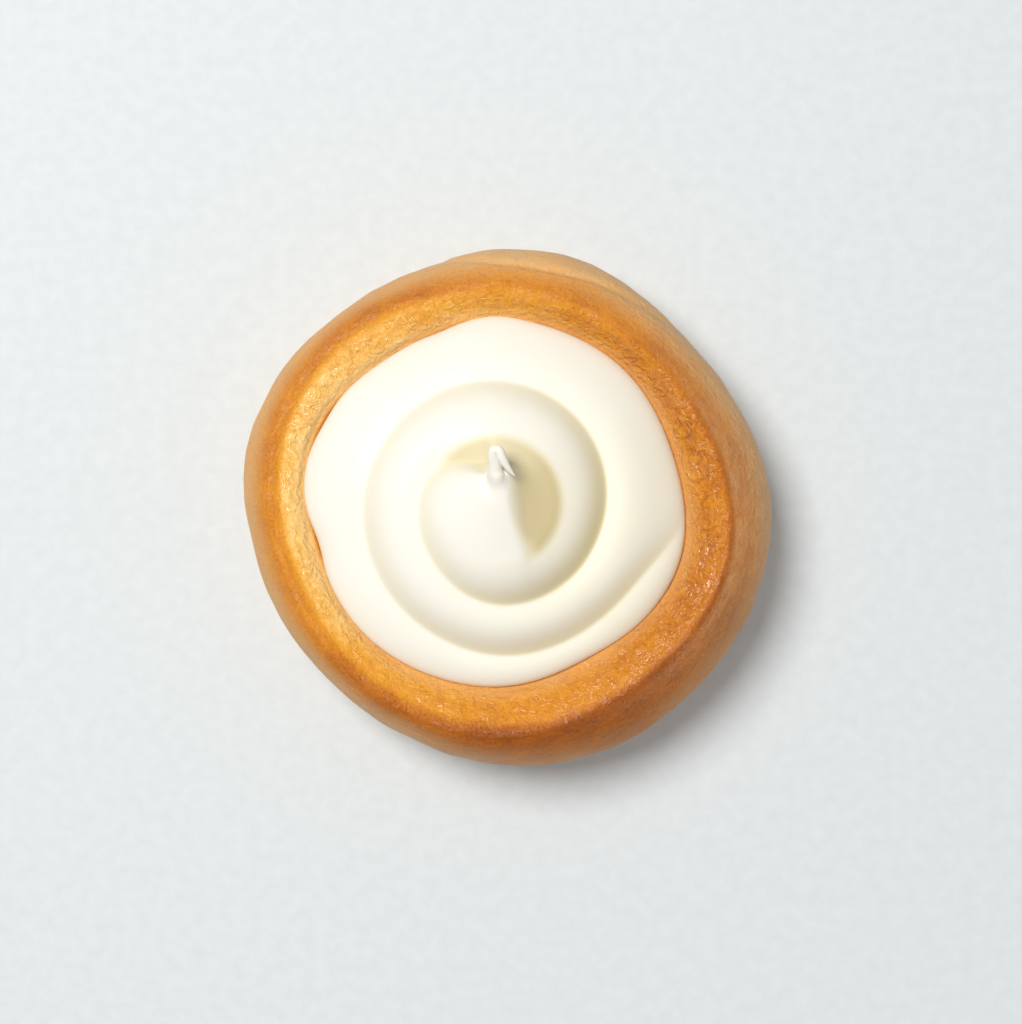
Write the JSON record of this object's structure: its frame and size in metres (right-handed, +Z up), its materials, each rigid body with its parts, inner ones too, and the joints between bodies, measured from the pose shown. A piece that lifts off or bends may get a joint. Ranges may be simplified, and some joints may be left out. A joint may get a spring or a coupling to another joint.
{
  "type": "round milk bread bun filled with a whipped cream swirl",
  "caption": "Round milk bread bun with a rolled rim and a well in its top, filled with a piped swirl of cream that ends in a leaning peak.",
  "frame": {"origin": "middle of the box's underside, on the surface that the bun rests on", "axes": "+Z up, +X along the bun's longest way across, +Y towards which the cream's tip leans"},
  "size_m": [0.1118, 0.1094, 0.0516],
  "materials": {
    "baked_crust": "satin",
    "whipped_cream": "satin"
  },
  "bodies": {
    "root": {"bread_bun": "baked_crust", "cream_swirl": "whipped_cream"}
  },
  "joints": []
}
